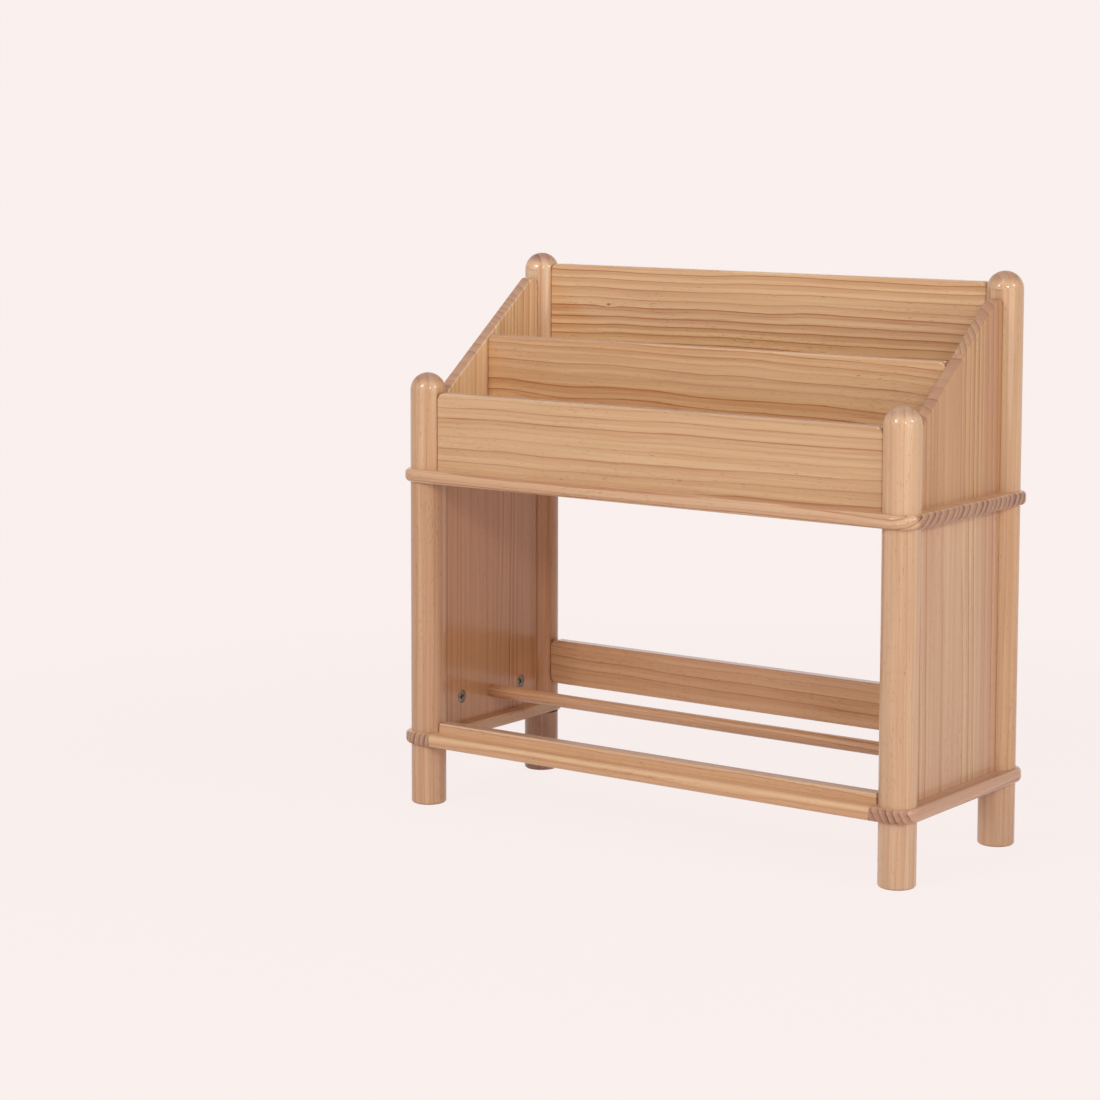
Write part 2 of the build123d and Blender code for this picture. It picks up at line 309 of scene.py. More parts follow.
@dataclass(frozen=True)
class Weave:
    """Noise that is drawn out along the fibres.

    Attributes:
        along: Its scale along the fibres.
        across: Its scale across them.
        shift: The seed's factors, which move it along, across and through.
        detail: How many finer layers it has.
        roughness: How strong each layer is beside the coarser one.
    """

    along: float
    across: float
    shift: Triple = (0.0, 0.0, 0.0)
    detail: float = 2.0
    roughness: float = 0.5

    def make(self, graph: Graph, ways: Ways, seed: float) -> Signal:
        """Add the noise to a material.

        Args:
            graph: The material's tree.
            ways: The place along, across and through the piece.
            seed: The piece's seed.

        Returns:
            The noise, 0 to 1.
        """
        scales = (self.along, self.across, self.across)
        place = [way * scale + factor * seed if factor else way * scale
                 for way, scale, factor in zip(ways, scales, self.shift)]
        return graph.noise(graph.vector(*place), 1.0, self.detail, self.roughness)


class Pattern(Enum):
    """The noises in the wood, from single fibres to slow bends of the rings."""

    FIBRE = Weave(12.0, 900.0, detail=3.0, roughness=0.6)
    BRUSH = Weave(4.0, 330.0, (1.0, 0.0, 0.0), roughness=0.6)
    STREAK = Weave(1.6, 120.0, (0.0, 1.0, 0.0))
    FADE = Weave(5.0, 30.0, (0.0, 0.0, 1.0))
    PATCH = Weave(2.4, 10.0, (0.0, 0.0, 2.7))
    FLECK = Weave(110.0, 1500.0, (0.0, 1.0, 0.0), detail=1.0)
    CROWD = Weave(6.0, 40.0, (0.0, 0.0, 1.0), detail=1.0)
    BEND = Weave(1.5, 4.0, (0.0, 0.0, 1.0), detail=1.0)
    WAVE = Weave(6.0, 11.0, (1.0, 0.0, 0.0), detail=1.5)


class Grain(Enum):
    """The way that a piece's fibres run, with its width and its thickness: axis numbers."""

    LENGTHWAYS = (0, 2, 1)
    LEVEL = (0, 1, 2)
    FRONT_TO_BACK = (1, 0, 2)
    UPRIGHT = (2, 1, 0)


@dataclass(frozen=True)
class Knot:
    """A pin knot: a small dark heart that the year lines flow round.

    Attributes:
        along: Its place along the fibres, from the piece's middle.
        across: Its place across them.
        radius: How large its dark heart is.
        slimness: How wide it is beside its length along the fibres.
        swell: How far it pushes the year lines away, in its radii.
        settling: How soon they close behind it.
    """

    along: float
    across: float
    radius: float
    slimness: float = 0.45
    swell: float = 1.5
    settling: float = 0.06

    def reach(self, along: Signal, across: Signal) -> Signal:
        """Work out the distance from the knot in its radii, squared, and shorter along the fibres.

        Args:
            along: The place along the piece.
            across: The place across it.

        Returns:
            The squared distance.
        """
        long_way = (along - self.along) * (self.slimness / self.radius)
        wide_way = (across - self.across) * (1.0 / self.radius)
        return long_way * long_way + wide_way * wide_way

    def bulge(self, along: Signal, across: Signal) -> Signal:
        """How far the year lines are pushed away from the knot."""
        fading = (self.reach(along, across) * -self.settling).exponent()
        return fading * (self.swell * self.radius)

    def heart(self, along: Signal, across: Signal) -> Signal:
        """1 on the knot's dark heart, 0 off it."""
        return 1.0 - Rise.KNOT.over(self.reach(along, across))


@dataclass(frozen=True)
class Strip:
    """One strip of a glued panel, from where the one before it ends.

    Attributes:
        start: Where it starts, across the panel, from the panel's middle.
        ring: The width of its rings beside the panel's mean.
        contrast: How dark its lines are beside the panel's mean.
        blush: How reddish it is, 0 to 1.
    """

    start: float
    ring: float
    contrast: float
    blush: float


@dataclass(frozen=True)
class Cut:
    """How one piece was sawn from the log.

    Attributes:
        grain: The way that its fibres run.
        centre: The piece's middle.
        seed: Picks this piece's own rings and tints.
        strips: Its glued strips, or none for a single length of wood.
        heart_reach: How far the heart of the tree lies from a strip's middle.
        lean: The mean slant of the rings' spokes from the piece's width, in radians.
        lean_spread: How far the strips differ from that slant.
        ring: Mean width of a year's ring.
        contrast: How dark the year lines are.
        ends: How dark they are where the fibres are sawn off.
        wander: How far the year lines sway.
        warmth: How far the tint goes from straw, 0, to reddish brown, 1.
        sawn_tone: How far sawn-off fibres darken as a whole, 0 to 1.
        painted_top_sheen: How far its upward-facing edge leans to a painted lilac sheen, 0 to 1.
        plain_corner: 1 where its round corners show no sawn fibres before its ends begin, else 0.
        tint_with_painted_light: Multiplies the piece's colour, red, green and blue: own tone plus
            painted light and shade.
        polish: How much smoother its lacquer is than a board's, 0 to 1.
        knot: Its pin knot, if it has one.
    """

    grain: Grain
    centre: Point
    seed: float
    strips: Tuple[Strip, ...] = ()
    heart_reach: float = 0.11
    lean: float = 0.55
    lean_spread: float = 0.35
    ring: float = 0.0100
    contrast: float = 1.0
    ends: float = 0.5
    wander: float = 0.008
    warmth: float = 0.25
    sawn_tone: float = 0.38
    painted_top_sheen: float = 0.0
    plain_corner: float = 0.0
    tint_with_painted_light: Triple = (1.0, 1.0, 1.0)
    polish: float = 0.0
    knot: Optional[Knot] = None


@dataclass(frozen=True)
class Stave:
    """The strip that a point of the wood is in, as signals.

    Attributes:
        number: Which strip.
        local: The place across it, from its middle.
        joint: 1 on a glued joint, 0 off it.
        ring: The width of its rings beside the piece's mean.
        contrast: How dark its lines are beside the piece's mean.
        blush: How reddish it is, 0 to 1.
        dice: Three more values that are its own.
    """

    number: Value
    local: Signal
    joint: Value
    ring: Value
    contrast: Value
    blush: Signal
    dice: Ways


@dataclass(frozen=True)
class PineFinish:
    """Fast-grown pine under a satin lacquer: year rings, fibres, resin flecks and glued strips.

    Attributes:
        straw: Early wood, at its palest.
        honey: Middle of a ring.
        amber: Late wood, the dark line.
        rose: What the redder parts lean to.
        umber: What sawn-off fibres darken to.
        shadow: Late wood where it is sawn off.
        painted_top_sheen: The painted lilac sheen that the boards' upward-facing edges lean to.
        bark: Resin flecks and knots.
        roughness: Sheen of the wood under the lacquer.
        coat: How much lacquer there is.
        coat_roughness: How soft the lacquer's reflections are.
        sawn_thirst: How much of the lacquer sawn fibres soak up.
        polish_gain: How much sharper a polished piece's reflections are.
        specular: The strength of the bare wood's reflections.
        late_strength: A late line's least darkness, and what luck adds.
        late_fade: What is left of it where it fades, and what noise adds.
        faint_strength: A faint line's least darkness, and what luck adds.
        faint_pace: Faint lines in a ring, and how far they sway.
        crowding: How much flecks crowd.
        fleck_share: How dark flecks are.
        knot_share: How dark a knot is.
        joint_share: How dark a glued joint is.
        relief: The heights of fibres and late lines, and the depths of flecks and joints.
        dent: How strongly that relief shows, and how deep it is.
        late_gloss: How much smoother late wood is.
        fibre_grit: How much rougher fibres are.
        heart_tilt: How far the heart line leans over the piece's length.
        bend: How far the rings bend slowly.
        fray: How far fibres fray them.
        pace: How the rings' widths change: scale, step from strip to strip, and sway in rings.
        first_ring: How far apart the strips' counts start.
    """

    straw: Colour = linear(234, 198, 151)
    honey: Colour = linear(209, 161, 112)
    amber: Colour = linear(174, 106, 58)
    rose: Colour = linear(204, 150, 114)
    umber: Colour = linear(166, 116, 87)
    shadow: Colour = linear(112, 72, 52)
    painted_top_sheen: Colour = linear(164, 141, 138)
    bark: Colour = linear(118, 72, 46)
    roughness: float = 0.46
    coat: float = 0.70
    coat_roughness: float = 0.15
    sawn_thirst: float = 0.5
    polish_gain: float = 0.3
    specular: float = 0.2
    late_strength: Pair = (0.30, 0.60)
    late_fade: Pair = (0.60, 0.80)
    faint_strength: Pair = (0.02, 0.30)
    faint_pace: Pair = (2.0, 1.6)
    crowding: float = 0.24
    fleck_share: float = 0.50
    knot_share: float = 0.8
    joint_share: float = 0.30
    relief: Tuple[float, float, float, float] = (0.5, 0.6, 0.5, 0.6)
    dent: Pair = (0.12, 0.00010)
    late_gloss: float = 0.06
    fibre_grit: float = 0.10
    heart_tilt: float = 0.03
    bend: float = 0.016
    fray: float = 0.0009
    pace: Triple = (28.0, 9.0, 1.8)
    first_ring: float = 5.0

    def make(self, name: str, cut: Cut) -> bpy.types.Material:
        """Make the material of one piece.

        The wood is a solid: each glued strip has its own heart line, and the colour follows the
        distance from that line, counted in rings and bent by noise that is long with the fibres.

        Args:
            name: The material's name.
            cut: How the piece was sawn.

        Returns:
            The material.
        """
        graph = Graph(bpy.data.materials.new(name))
        axes = graph.parts(graph.object_place(cut.centre))
        along, across, through = (axes[number] for number in cut.grain.value)
        ways = (along, across, through)
        facing = graph.parts(graph.node("ShaderNodeTexCoord", None, None, "Normal"))
        sawn = Rise.SAWN_FIBRES.over(facing[cut.grain.value[0]].size())
        if cut.plain_corner:
            sawn = sawn * (1.0 - Rise.LONG_SIDE.over(facing[1].size()) * cut.plain_corner)
        noises = {kind: kind.value.make(graph, ways, cut.seed) for kind in Pattern}
        fibre, brush = noises[Pattern.FIBRE], noises[Pattern.BRUSH]
        stave = self._stave(graph, cut, across)
        count = self._rings(graph, cut, ways, stave, noises)
        late, faint = self._lines(graph, cut, stave, count, noises)
        fleck = Rise.FLECK.over(noises[Pattern.FLECK] + noises[Pattern.CROWD] * self.crowding)

        paleness = Rise.STREAK.over(noises[Pattern.STREAK]) + Rise.BRUSH.over(brush)
        patch = Rise.PATCH.over(noises[Pattern.PATCH])
        layers = [
            (patch * cut.warmth + stave.blush * cut.warmth, self.rose),
            ((late + faint) * cut.contrast * stave.contrast, self.amber),
            (Rise.FIBRE.over(fibre), self.amber),
            (sawn * cut.sawn_tone, self.umber),
            (sawn * late * cut.ends, self.shadow),
            # Painted sheen: upward-facing surfaces lean to a lilac grey, as if lit from above.
            (Rise.PAINTED_SHEEN_UP.over(facing[2]) * cut.painted_top_sheen, self.painted_top_sheen),
            (fleck * (1.0 - sawn) * self.fleck_share, self.bark),
        ]
        if cut.knot:
            layers.append((cut.knot.heart(along, across) * self.knot_share, self.bark))
        layers.append((stave.joint * self.joint_share, self.umber))
        colour = graph.mix(paleness, self.straw, self.honey)
        for share, tint in layers:
            colour = graph.mix(share, colour, tint)
        # Multiply by the piece's factor: its own tone plus painted shade, light and sheen.
        colour = graph.mix(1.0, colour, (*cut.tint_with_painted_light, 1.0), "MULTIPLY")

        fibre_height, late_height, fleck_depth, joint_depth = self.relief
        height = (fibre * fibre_height + late * late_height - fleck * fleck_depth
                  - stave.joint * joint_depth)
        return graph.finish({
            "Base Color": colour,
            "Roughness": self.roughness - late * self.late_gloss + fibre * self.fibre_grit,
            "Normal": graph.bump(height, *self.dent),
            "Coat Weight": self.coat * (1.0 - self.sawn_thirst * sawn),
            "Coat Roughness": self.coat_roughness * (1.0 - self.polish_gain * cut.polish),
            "Specular IOR Level": self.specular,
        })

    def _lines(self, graph: Graph, cut: Cut, stave: Stave, count: Signal,
               noises: Dict[Pattern, Signal]) -> Tuple[Signal, Signal]:
        """Shade the rings: slowly darker, then one dark line, with faint lines between.

        Args:
            graph: The material's tree.
            cut: How the piece was sawn.
            stave: The strip that a point is in.
            count: The number of rings from the heart line.
            noises: The wood's noises.

        Returns:
            How dark the late lines are, and how dark the faint ones, 0 to 1.
        """
        year, phase = count.floor(), count.fraction()
        luck = graph.luck(year + cut.seed * YEAR_SEED + stave.number * YEAR_STEP)
        strength = graph.part(luck, "Value")
        late = Rise.SLOW_DARKENING.over(phase) + Rise.LATE_LINE.over(phase)
        late = late * (1.0 - Rise.RING_END.over(phase))
        late = late * (self.late_strength[0] + self.late_strength[1] * strength)
        late = late * (self.late_fade[0] + self.late_fade[1] * noises[Pattern.FADE])
        lines, sway = self.faint_pace
        half = (count * lines + noises[Pattern.BRUSH] * sway).fraction()
        faint = Rise.FAINT_LINE.over(half) * (1.0 - Rise.FAINT_END.over(half))
        faint = faint * (self.faint_strength[0] + self.faint_strength[1] * strength * strength)
        return late, faint

    @staticmethod
    def _stave(graph: Graph, cut: Cut, across: Signal) -> Stave:
        """Find the glued strip that each point is in.

        Args:
            graph: The material's tree.
            cut: How the piece was sawn.
            across: The place across the piece.

        Returns:
            The strip and what is its own.
        """
        if not cut.strips:
            one, two, three = graph.parts(graph.luck(cut.seed * STRIP_SEED))
            return Stave(number=0.0, local=across, joint=0.0, ring=1.0, contrast=1.0, blush=two,
                         dice=(one, two, three))
        starts = [strip.start for strip in cut.strips]
        # The last strip counts as wide as the one before it.
        ends = starts[1:] + [2 * starts[-1] - starts[-2]]
        steps = [Rise.STRIP_START.over(across - start) for start in starts[1:]]

        def stepped(values: Sequence[float]) -> Any:
            """One value on each strip."""
            total = values[0]
            for step, before, after in zip(steps, values, values[1:]):
                total = total + step * (after - before)
            return total

        number = stepped([float(order) for order in range(len(starts))])
        middle = stepped([(start + end) / 2 for start, end in zip(starts, ends)])
        joint = sum(1.0 - Rise.GLUED_JOINT.over((across - start).size()) for start in starts[1:])
        one, two, three = graph.parts(graph.luck(number * STRIP_STEP + cut.seed * STRIP_SEED))
        return Stave(number, across - middle, joint,
                     stepped([strip.ring for strip in cut.strips]),
                     stepped([strip.contrast for strip in cut.strips]),
                     stepped([strip.blush for strip in cut.strips]), (one, two, three))

    def _rings(self, graph: Graph, cut: Cut, ways: Ways, stave: Stave,
               noises: Dict[Pattern, Signal]) -> Signal:
        """Count the year rings from a strip's heart line.

        Args:
            graph: The material's tree.
            cut: How the piece was sawn.
            ways: The place along, across and through the piece.
            stave: The strip that the place is in.
            noises: The wood's noises, which bend and fray the rings.

        Returns:
            The number of rings from the heart line.
        """
        along, across, through = ways
        one, two, three = stave.dice
        slant = cut.lean + cut.lean_spread * (one * 2.0 - 1.0)
        aside = (stave.local + cut.heart_reach * slant.cosine()
                 + along * (three.swing() * self.heart_tilt))
        deep = through + cut.heart_reach * slant.sine() + along * (two.swing() * self.heart_tilt)
        distance = (aside * aside + deep * deep).root()
        sways = ((Pattern.BEND, self.bend), (Pattern.WAVE, cut.wander), (Pattern.FIBRE, self.fray))
        for kind, amount in sways:
            distance = distance + noises[kind].swing() * amount
        if cut.knot:
            distance = distance + cut.knot.bulge(along, across)
        scale, step, sway = self.pace
        place = graph.vector(distance * scale, three * step, cut.seed)
        return (distance / (stave.ring * cut.ring) + graph.noise(place, 1.0, 1.0) * sway
                + three * self.first_ring)


@dataclass(frozen=True)
class MetalFinish:
    """Bare or plated metal with tool marks, small dents and a dull film.

    Attributes:
        base: The clean metal.
        film: Where it has dulled.
        roughness: Its sheen.
        cloud: The film's noise: scale and detail.
        grit: The marks' noise: scale, detail and roughness.
        grit_share: How much the marks are dulled.
        dullness: How much rougher film and marks are.
        dent: How strongly the marks show, and how deep they are.
    """

    base: Colour
    film: Colour
    roughness: float = 0.34
    cloud: Pair = (160.0, 3.0)
    grit: Triple = (2600.0, 3.0, 0.65)
    grit_share: float = 0.2
    dullness: Pair = (0.16, 0.10)
    dent: Pair = (0.25, 0.00005)

    def make(self, name: str) -> bpy.types.Material:
        """Make the material under a name."""
        graph = Graph(bpy.data.materials.new(name))
        place = graph.object_place(ORIGIN)
        cloud = graph.noise(place, *self.cloud)
        grit = graph.noise(place, *self.grit)
        dulled = Rise.METAL_FILM.over(cloud) + grit * self.grit_share
        rough = self.roughness + cloud * self.dullness[0] + grit * self.dullness[1]
        return graph.finish({"Base Color": graph.mix(dulled, self.base, self.film), "Metallic": 1.0,
                             "Roughness": rough, "Normal": graph.bump(grit, *self.dent)})


@dataclass(frozen=True)
class BeechFinish:
    """Raw beech of dowels: even, pale and closely flecked.

    Attributes:
        pale: The wood between the flecks.
        fleck: The flecks.
        roughness: Its sheen.
        flecks: The flecks' noise: scale, detail and roughness.
        cloud: The noise in its sheen: scale and detail.
        dullness: How much rougher that noise makes it.
        dent: How strongly the flecks show as relief, and how deep they are.
    """

    pale: Colour = linear(214, 178, 140)
    fleck: Colour = linear(170, 122, 86)
    roughness: float = 0.62
    flecks: Triple = (420.0, 4.0, 0.7)
    cloud: Pair = (60.0, 2.0)
    dullness: float = 0.12
    dent: Pair = (0.3, 0.0002)

    def make(self, name: str) -> bpy.types.Material:
        """Make the material under a name."""
        graph = Graph(bpy.data.materials.new(name))
        place = graph.object_place(ORIGIN)
        grain = graph.noise(place, *self.flecks)
        colour = graph.mix(Rise.BEECH_FLECK.over(grain), self.pale, self.fleck)
        rough = self.roughness + graph.noise(place, *self.cloud) * self.dullness
        return graph.finish({"Base Color": colour, "Roughness": rough,
                             "Normal": graph.bump(grain, *self.dent)})


@dataclass(frozen=True)
class Softbox:
    """One studio lamp.

    Attributes:
        name: The lamp's name.
        direction: From the bookcase towards the lamp.
        distance: How far away it stands.
        width: The width of its face.
        height: The height of its face.
        power: Its output in watts.
        tint: The colour of its light: red, green and blue.
    """

    name: str
    direction: Point
    distance: float
    width: float
    height: float
    power: float
    tint: Triple = (1.0, 1.0, 1.0)

    def place(self, target: Vector) -> None:
        """Stand the lamp so that it faces a target."""
        way = Vector(self.direction).normalized()
        light = bpy.data.lights.new(self.name, "AREA")
        light.shape = "RECTANGLE"
        light.size = self.width
        light.size_y = self.height
        light.energy = self.power
        light.color = self.tint
        lamp = bpy.data.objects.new(self.name, light)
        lamp.location = target + way * self.distance
        lamp.rotation_euler = way.to_track_quat("Z", "Y").to_euler()
        bpy.context.scene.collection.objects.link(lamp)


@dataclass(frozen=True)
class Studio:
    """Floor, surroundings, lamps and camera.

    Attributes:
        backdrop: The pale colour behind the bookcase.
        ambient: The strength of the surroundings on what isn't seen directly.
        place: Where the camera stands.
        yaw: Its turn to the left of straight ahead, in degrees.
        pitch: Its tilt upwards, in degrees.
        roll: Its turn about its own line of sight, in degrees.
        image_size: The photograph's side, in pixels.
        focal_pixels: The focal length, in those pixels.
        axis_pixel: Where the line of sight meets the picture, in those pixels.
        sensor_width: The camera's nominal film width, in millimetres.
        floor_reach: Half the floor's side.
        shadow_share: How much of the floor's shadow shows beside the bookcase.
        shadow_reach: Where that shadow starts to fade, and where it is gone.
        mirrored_share: How much of the floor's own glow reflections show.
        softboxes: The lamps.
    """

    backdrop: Colour = linear(250, 240, 238)
    ambient: float = 0.15
    place: Point = (1.7371, -2.6684, 0.7977)
    yaw: float = 36.123
    pitch: float = -5.806
    roll: float = 0.098
    image_size: float = 1100.0
    focal_pixels: float = 2895.8
    axis_pixel: Pair = (553.29, 400.0)
    sensor_width: float = 36.0
    floor_reach: float = 12.0
    shadow_share: float = 0.05
    shadow_reach: Pair = (0.5, 1.6)
    mirrored_share: float = 0.9
    softboxes: Tuple[Softbox, ...] = (
        Softbox("softbox_front", (-0.147, -0.855, 0.498), 3.2, 0.80, 0.80, 29.5),
        Softbox("softbox_high", (0.05, -0.70, 0.80), 3.2, 1.20, 1.20, 9.5),
        Softbox("softbox_right_front", (0.70, -0.62, 0.36), 3.6, 0.50, 0.42, 16.0),
        Softbox("softbox_right", (0.905, -0.02, 0.43), 3.6, 0.62, 0.45, 15.0),
        Softbox("sheet_right", (0.95, -0.28, 0.10), 3.2, 1.80, 1.00, 15.0),
        Softbox("screen_right", (0.86, -0.10, 0.55), 3.2, 1.80, 1.80, 15.0),
        Softbox("screen_left", (-0.45, -0.85, 0.35), 3.2, 2.40, 2.40, 11.0),
        Softbox("screen_rear", (-0.60, 0.75, 0.25), 3.6, 3.00, 3.00, 9.0),
        Softbox("sky", (-0.10, 0.12, 0.98), 3.0, 2.40, 2.40, 24.0, (0.74, 0.78, 1.0)),
    )

    def build(self, middle: Vector) -> None:
        """Make the whole studio around the bookcase's middle."""
        self._surroundings()
        self._floor()
        for softbox in self.softboxes:
            softbox.place(middle)
        self._camera()

    def _surroundings(self) -> None:
        """A pale world: as written to the eye and in reflections, and dimmer as a light."""
        world = bpy.data.worlds.new("studio_air")
        bpy.context.scene.world = world
        graph = Graph(world)
        eye = graph.node("ShaderNodeLightPath", None, None, "Is Camera Ray")
        seen = eye.most(graph.part(eye, "Is Glossy Ray"))
        seen = seen.most(graph.part(eye, "Is Transmission Ray"))
        bright = graph.node("ShaderNodeBackground", None, {"Color": self.backdrop})
        dim = graph.node("ShaderNodeBackground", None,
                         {"Color": self.backdrop, "Strength": self.ambient})
        both = graph.node("ShaderNodeMixShader", None, {0: seen, 1: dim, 2: bright})
        graph.show(both, "ShaderNodeOutputWorld")

    def _floor(self) -> None:
        """A pale floor that melts into the surroundings and keeps a faint shadow."""
        far = self.floor_reach
        corners = [(-far, -far, 0.0), (far, -far, 0.0), (far, far, 0.0), (-far, far, 0.0)]
        mesh = bpy.data.meshes.new("floor")
        mesh.from_pydata(corners, [], [(0, 1, 2, 3)])
        floor = bpy.data.objects.new("floor", mesh)
        bpy.context.scene.collection.objects.link(floor)
        graph = Graph(bpy.data.materials.new("floor_paint"))
        glow = graph.node("ShaderNodeEmission", None, {"Color": self.backdrop, "Strength": 1.0})
        matt = graph.node("ShaderNodeBsdfDiffuse", None, {"Color": self.backdrop})
        place = graph.object_place(ORIGIN)
        reach = graph.node("ShaderNodeVectorMath", {"operation": "LENGTH"}, {0: place}, "Value")
        near = 1.0 - reach.rise(*self.shadow_reach)
        eye = graph.node("ShaderNodeLightPath", None, None, "Is Camera Ray")
        glossy = graph.part(eye, "Is Glossy Ray")
        share = eye * (1.0 - near * self.shadow_share) + glossy * self.mirrored_share
        graph.show(graph.node("ShaderNodeMixShader", None, {0: share, 1: matt, 2: glow}))
        mesh.materials.append(graph.owner)
        floor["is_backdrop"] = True

    def _camera(self) -> None:
        """The photograph's camera, from its place, its three turns and its optics."""
        yaw, pitch, roll = (math.radians(value) for value in (self.yaw, self.pitch, self.roll))
        ahead = Vector((-math.sin(yaw) * math.cos(pitch), math.cos(yaw) * math.cos(pitch),
                        math.sin(pitch)))
        level = Vector((math.cos(yaw), math.sin(yaw), 0.0))
        upright = level.cross(ahead)
        right = math.cos(roll) * level + math.sin(roll) * upright
        up = math.cos(roll) * upright - math.sin(roll) * level
        data = bpy.data.cameras.new("camera")
        data.sensor_width = self.sensor_width
        data.lens = data.sensor_width * self.focal_pixels / self.image_size
        data.shift_x = (self.image_size / 2 - self.axis_pixel[0]) / self.image_size
        data.shift_y = (self.axis_pixel[1] - self.image_size / 2) / self.image_size
        camera = bpy.data.objects.new("camera", data)
        turn = Matrix((right, up, -ahead)).transposed().to_4x4()
        camera.matrix_world = Matrix.Translation(self.place) @ turn
        bpy.context.scene.collection.objects.link(camera)
        bpy.context.scene.camera = camera


def paint(piece: bpy.types.Object, material: bpy.types.Material) -> None:
    """Make a material a piece's only one."""
    piece.data.materials.clear()
    piece.data.materials.append(material)


@dataclass(frozen=True)
class Joinery:
    """All wooden pieces, each with its own cut of pine.

    Attributes:
        nodes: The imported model's nodes.
    """

    nodes: Dict[str, bpy.types.Object]

    finish = PineFinish()
    panel_strips = (
        Strip(-0.120, 0.9, 0.95, 0.5),
        Strip(-0.057, 1.5, 0.4, 0.7),
        Strip(0.007, 0.62, 1.1, 0.0),
        Strip(0.051, 1.1, 0.8, 1.0),
    )
    # Colour factors for each piece: partly the wood's own tone, partly painted light. Pieces in the
    # bookcase's shade, such as the lower left panel and the rear left lower post and foot, are
    # darkened as painted shade. The upper left panel is lightened as painted light, and the posts'
    # raised blue is a painted sheen.
    tints_with_painted_light = {
        "back_board": (1.04, 1.05, 1.03),
        "divider": (0.97, 0.94, 0.89),
        "front_board": (0.91, 0.93, 0.94),
        "upper_side_left": (1.15, 1.27, 1.37),
        "upper_side_right": (0.78, 0.71, 0.61),
        "lower_side_right": (0.87, 0.89, 0.97),
        "lower_side_left": (0.78, 0.65, 0.62),
        "rear_rail": (0.94, 0.91, 0.95),
        "rod": (0.87, 0.82, 0.85),
        "lip": (0.98, 1.00, 1.07),
        "base_front_strip": (0.95, 0.92, 0.95),
        "shelf": (0.95, 1.00, 1.13),
        "base_side_left": (0.88, 0.91, 1.04),
        "base_side_right": (0.82, 0.80, 0.96),
        "upper_post_front_left": (0.87, 0.86, 0.91),
        "upper_post_front_right": (0.95, 1.00, 1.11),
        "upper_post_rear_left": (1.00, 1.03, 1.15),
        "upper_post_rear_right": (0.86, 0.84, 0.88),
        "lower_post_front_left": (0.78, 0.72, 0.78),
        "lower_post_front_right": (0.85, 0.84, 0.94),
        "lower_post_rear_left": (0.82, 0.69, 0.63),
        "lower_post_rear_right": (0.85, 0.79, 0.80),
        "foot_front_left": (0.87, 0.85, 0.94),
        "foot_front_right": (0.88, 0.91, 1.09),
        "foot_rear_left": (0.63, 0.57, 0.65),
        "foot_rear_right": (0.85, 0.84, 0.98),
    }

    def cut_for(self, name: str, order: int) -> Cut:
        """Choose how a piece was sawn, from its name.

        Args:
            name: The node's name.
            order: The piece's number, which seeds its grain.

        Returns:
            The cut.
        """
        low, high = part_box(name)
        common = {"centre": tuple((low + high) / 2), "seed": SEED_START + SEED_STEP * order,
                  "tint_with_painted_light": self.tints_with_painted_light[name]}
        left = name.endswith("left")
        if "post" in name or name.startswith("foot"):
            # The rear left upper post gets darker end grain: partly its own wood, partly painted
            # shade on its dome that stands in for weaker light from the rear.
            dark = name == "upper_post_rear_left"
            return Cut(Grain.UPRIGHT, heart_reach=0.06, contrast=0.40, wander=0.004, polish=1.0,
                       sawn_tone=0.9 if dark else 0.6, ends=1.5 if dark else 0.5, **common)
        if name.startswith("base_side"):
            return Cut(Grain.FRONT_TO_BACK, ring=0.0062, lean=-0.20 if left else 0.42,
                       lean_spread=0.0, ends=1.9, wander=0.003, **common)
        if "side" in name:
            return Cut(Grain.UPRIGHT, strips=self.panel_strips, ring=0.0095,
                       contrast=1.35 if name.startswith("upper") else 1.05, wander=0.003,
                       lean_spread=0.5, warmth=0.18 if left else 0.42,
                       sawn_tone=0.8 if left else 0.38, **common)
        if name == "shelf":
            return Cut(Grain.LEVEL, heart_reach=0.30, lean=-0.65, lean_spread=0.0, ring=0.0096,
                       ends=2.1, sawn_tone=0.65, plain_corner=1.0, wander=0.005, warmth=0.4,
                       **common)
        if name == "base_front_strip":
            return Cut(Grain.LEVEL, contrast=0.7, **common)
        if name == "rod":
            return Cut(Grain.LENGTHWAYS, ring=0.006, contrast=0.7, **common)
        if name == "back_board":
            return Cut(Grain.LENGTHWAYS, heart_reach=0.1757, lean=0.45, contrast=1.75, wander=0.010,
                       painted_top_sheen=0.45, knot=Knot(-0.2045, 0.0668, 0.0015), **common)
        if name == "divider":
            return Cut(Grain.LENGTHWAYS, heart_reach=0.20, lean=0.5, wander=0.014, painted_top_sheen=0.45,
                       **common)
        return Cut(Grain.LENGTHWAYS, heart_reach=0.16, contrast=0.78, painted_top_sheen=0.45, **common)

    def dress(self) -> List[str]:
        """Give every wooden node its material and say which were dressed."""
        wood = [(order, name) for order, name in enumerate(sorted(self.nodes))
                if not name.endswith(tuple(FITTINGS))]
        for order, name in wood:
            paint(self.nodes[name], self.finish.make(name + "_pine", self.cut_for(name, order)))
        return [name for _, name in wood]


